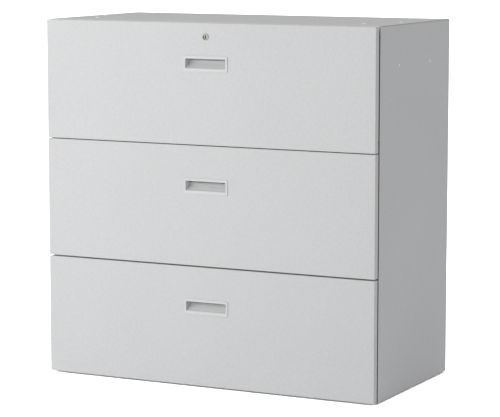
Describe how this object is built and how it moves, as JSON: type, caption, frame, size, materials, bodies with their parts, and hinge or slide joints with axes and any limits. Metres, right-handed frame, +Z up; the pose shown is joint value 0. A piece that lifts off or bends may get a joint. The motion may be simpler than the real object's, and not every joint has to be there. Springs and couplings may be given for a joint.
{
  "type": "lateral filing cabinet",
  "caption": "Free-standing steel lateral filing cabinet with full-width drawers on telescopic slides, recessed pulls and a cylinder lock that bars every drawer.",
  "frame": {"origin": "on the floor under the middle of the cabinet", "axes": "+Z up, -Y towards the person who opens the drawers, +X to that person's right"},
  "size_m": [0.88, 0.45, 0.88],
  "materials": {
    "case_paint": "light grey powder coat, fine satin texture",
    "tray_paint": "light grey powder coat",
    "pull_plastic": "moulded, satin",
    "lock_nickel": "nickel plated",
    "zinc_steel": "zinc plated",
    "slide_zinc": "bright zinc plated",
    "plug_plastic": "moulded, white",
    "foot_plastic": "moulded, black"
  },
  "bodies": {
    "case": {"left_side_panel": "case_paint", "right_side_panel": "case_paint", "top_panel": "case_paint", "bottom_panel": "case_paint", "back_panel": "case_paint", "top_front_rail": "case_paint", "upper_divider_rail": "case_paint", "lower_divider_rail": "case_paint", "left_front_upright": "zinc_steel", "right_front_upright": "zinc_steel", "left_rear_upright": "zinc_steel", "right_rear_upright": "zinc_steel", "foot_front_left": "foot_plastic", "foot_front_right": "foot_plastic", "foot_rear_left": "foot_plastic", "foot_rear_right": "foot_plastic", "top_plug_1": "plug_plastic", "top_plug_2": "plug_plastic", "top_plug_3": "plug_plastic", "top_plug_4": "plug_plastic", "lock_bar_guide": "zinc_steel", "bottom_left_outer_slide": "slide_zinc", "bottom_right_outer_slide": "slide_zinc", "middle_left_outer_slide": "slide_zinc", "middle_right_outer_slide": "slide_zinc", "top_left_outer_slide": "slide_zinc", "top_right_outer_slide": "slide_zinc"},
    "top_drawer": {"top_front_shell": "case_paint", "top_front_liner": "case_paint", "top_pull": "pull_plastic", "top_tray": "tray_paint", "top_hanger_frame": "zinc_steel", "top_left_inner_slide": "slide_zinc", "top_right_inner_slide": "slide_zinc", "lock_housing": "lock_nickel", "lock_nut": "zinc_steel"},
    "middle_drawer": {"middle_front_shell": "case_paint", "middle_front_liner": "case_paint", "middle_pull": "pull_plastic", "middle_tray": "tray_paint", "middle_hanger_frame": "zinc_steel", "middle_left_inner_slide": "slide_zinc", "middle_right_inner_slide": "slide_zinc"},
    "bottom_drawer": {"bottom_front_shell": "case_paint", "bottom_front_liner": "case_paint", "bottom_pull": "pull_plastic", "bottom_tray": "tray_paint", "bottom_hanger_frame": "zinc_steel", "bottom_left_inner_slide": "slide_zinc", "bottom_right_inner_slide": "slide_zinc"},
    "top_runner": {"top_left_middle_slide": "slide_zinc", "top_right_middle_slide": "slide_zinc"},
    "middle_runner": {"middle_left_middle_slide": "slide_zinc", "middle_right_middle_slide": "slide_zinc"},
    "bottom_runner": {"bottom_left_middle_slide": "slide_zinc", "bottom_right_middle_slide": "slide_zinc"},
    "lock_core": {"lock_plug": "lock_nickel", "lock_cam": "zinc_steel"},
    "lock_bar": {"lock_bar": "zinc_steel"}
  },
  "joints": [
    {"name": "top_drawer_slide", "type": "slide", "parent": "case", "child": "top_drawer", "axis": [0, -1, 0], "range_m": [0, 0.38]},
    {"name": "middle_drawer_slide", "type": "slide", "parent": "case", "child": "middle_drawer", "axis": [0, -1, 0], "range_m": [0, 0.38]},
    {"name": "bottom_drawer_slide", "type": "slide", "parent": "case", "child": "bottom_drawer", "axis": [0, -1, 0], "range_m": [0, 0.38]},
    {"name": "top_runner_slide", "type": "slide", "parent": "case", "child": "top_runner", "axis": [0, -1, 0], "range_m": [0, 0.19]},
    {"name": "middle_runner_slide", "type": "slide", "parent": "case", "child": "middle_runner", "axis": [0, -1, 0], "range_m": [0, 0.19]},
    {"name": "bottom_runner_slide", "type": "slide", "parent": "case", "child": "bottom_runner", "axis": [0, -1, 0], "range_m": [0, 0.19]},
    {"name": "lock_turn", "type": "hinge", "parent": "top_drawer", "child": "lock_core", "pos_m": [0, -0.21, 0.846], "axis": [0, 1, 0], "range_deg": [0, 90]},
    {"name": "lock_bar_lift", "type": "slide", "parent": "case", "child": "lock_bar", "axis": [0, 0, 1], "range_m": [0, 0.0064]}
  ],
  "couplings": [
    {"joint": "top_runner_slide", "follows": "top_drawer_slide", "ratio": 0.5},
    {"joint": "middle_runner_slide", "follows": "middle_drawer_slide", "ratio": 0.5},
    {"joint": "bottom_runner_slide", "follows": "bottom_drawer_slide", "ratio": 0.5},
    {"joint": "lock_turn", "follows": "lock_bar_lift", "rad_per_m": 245.4}
  ]
}
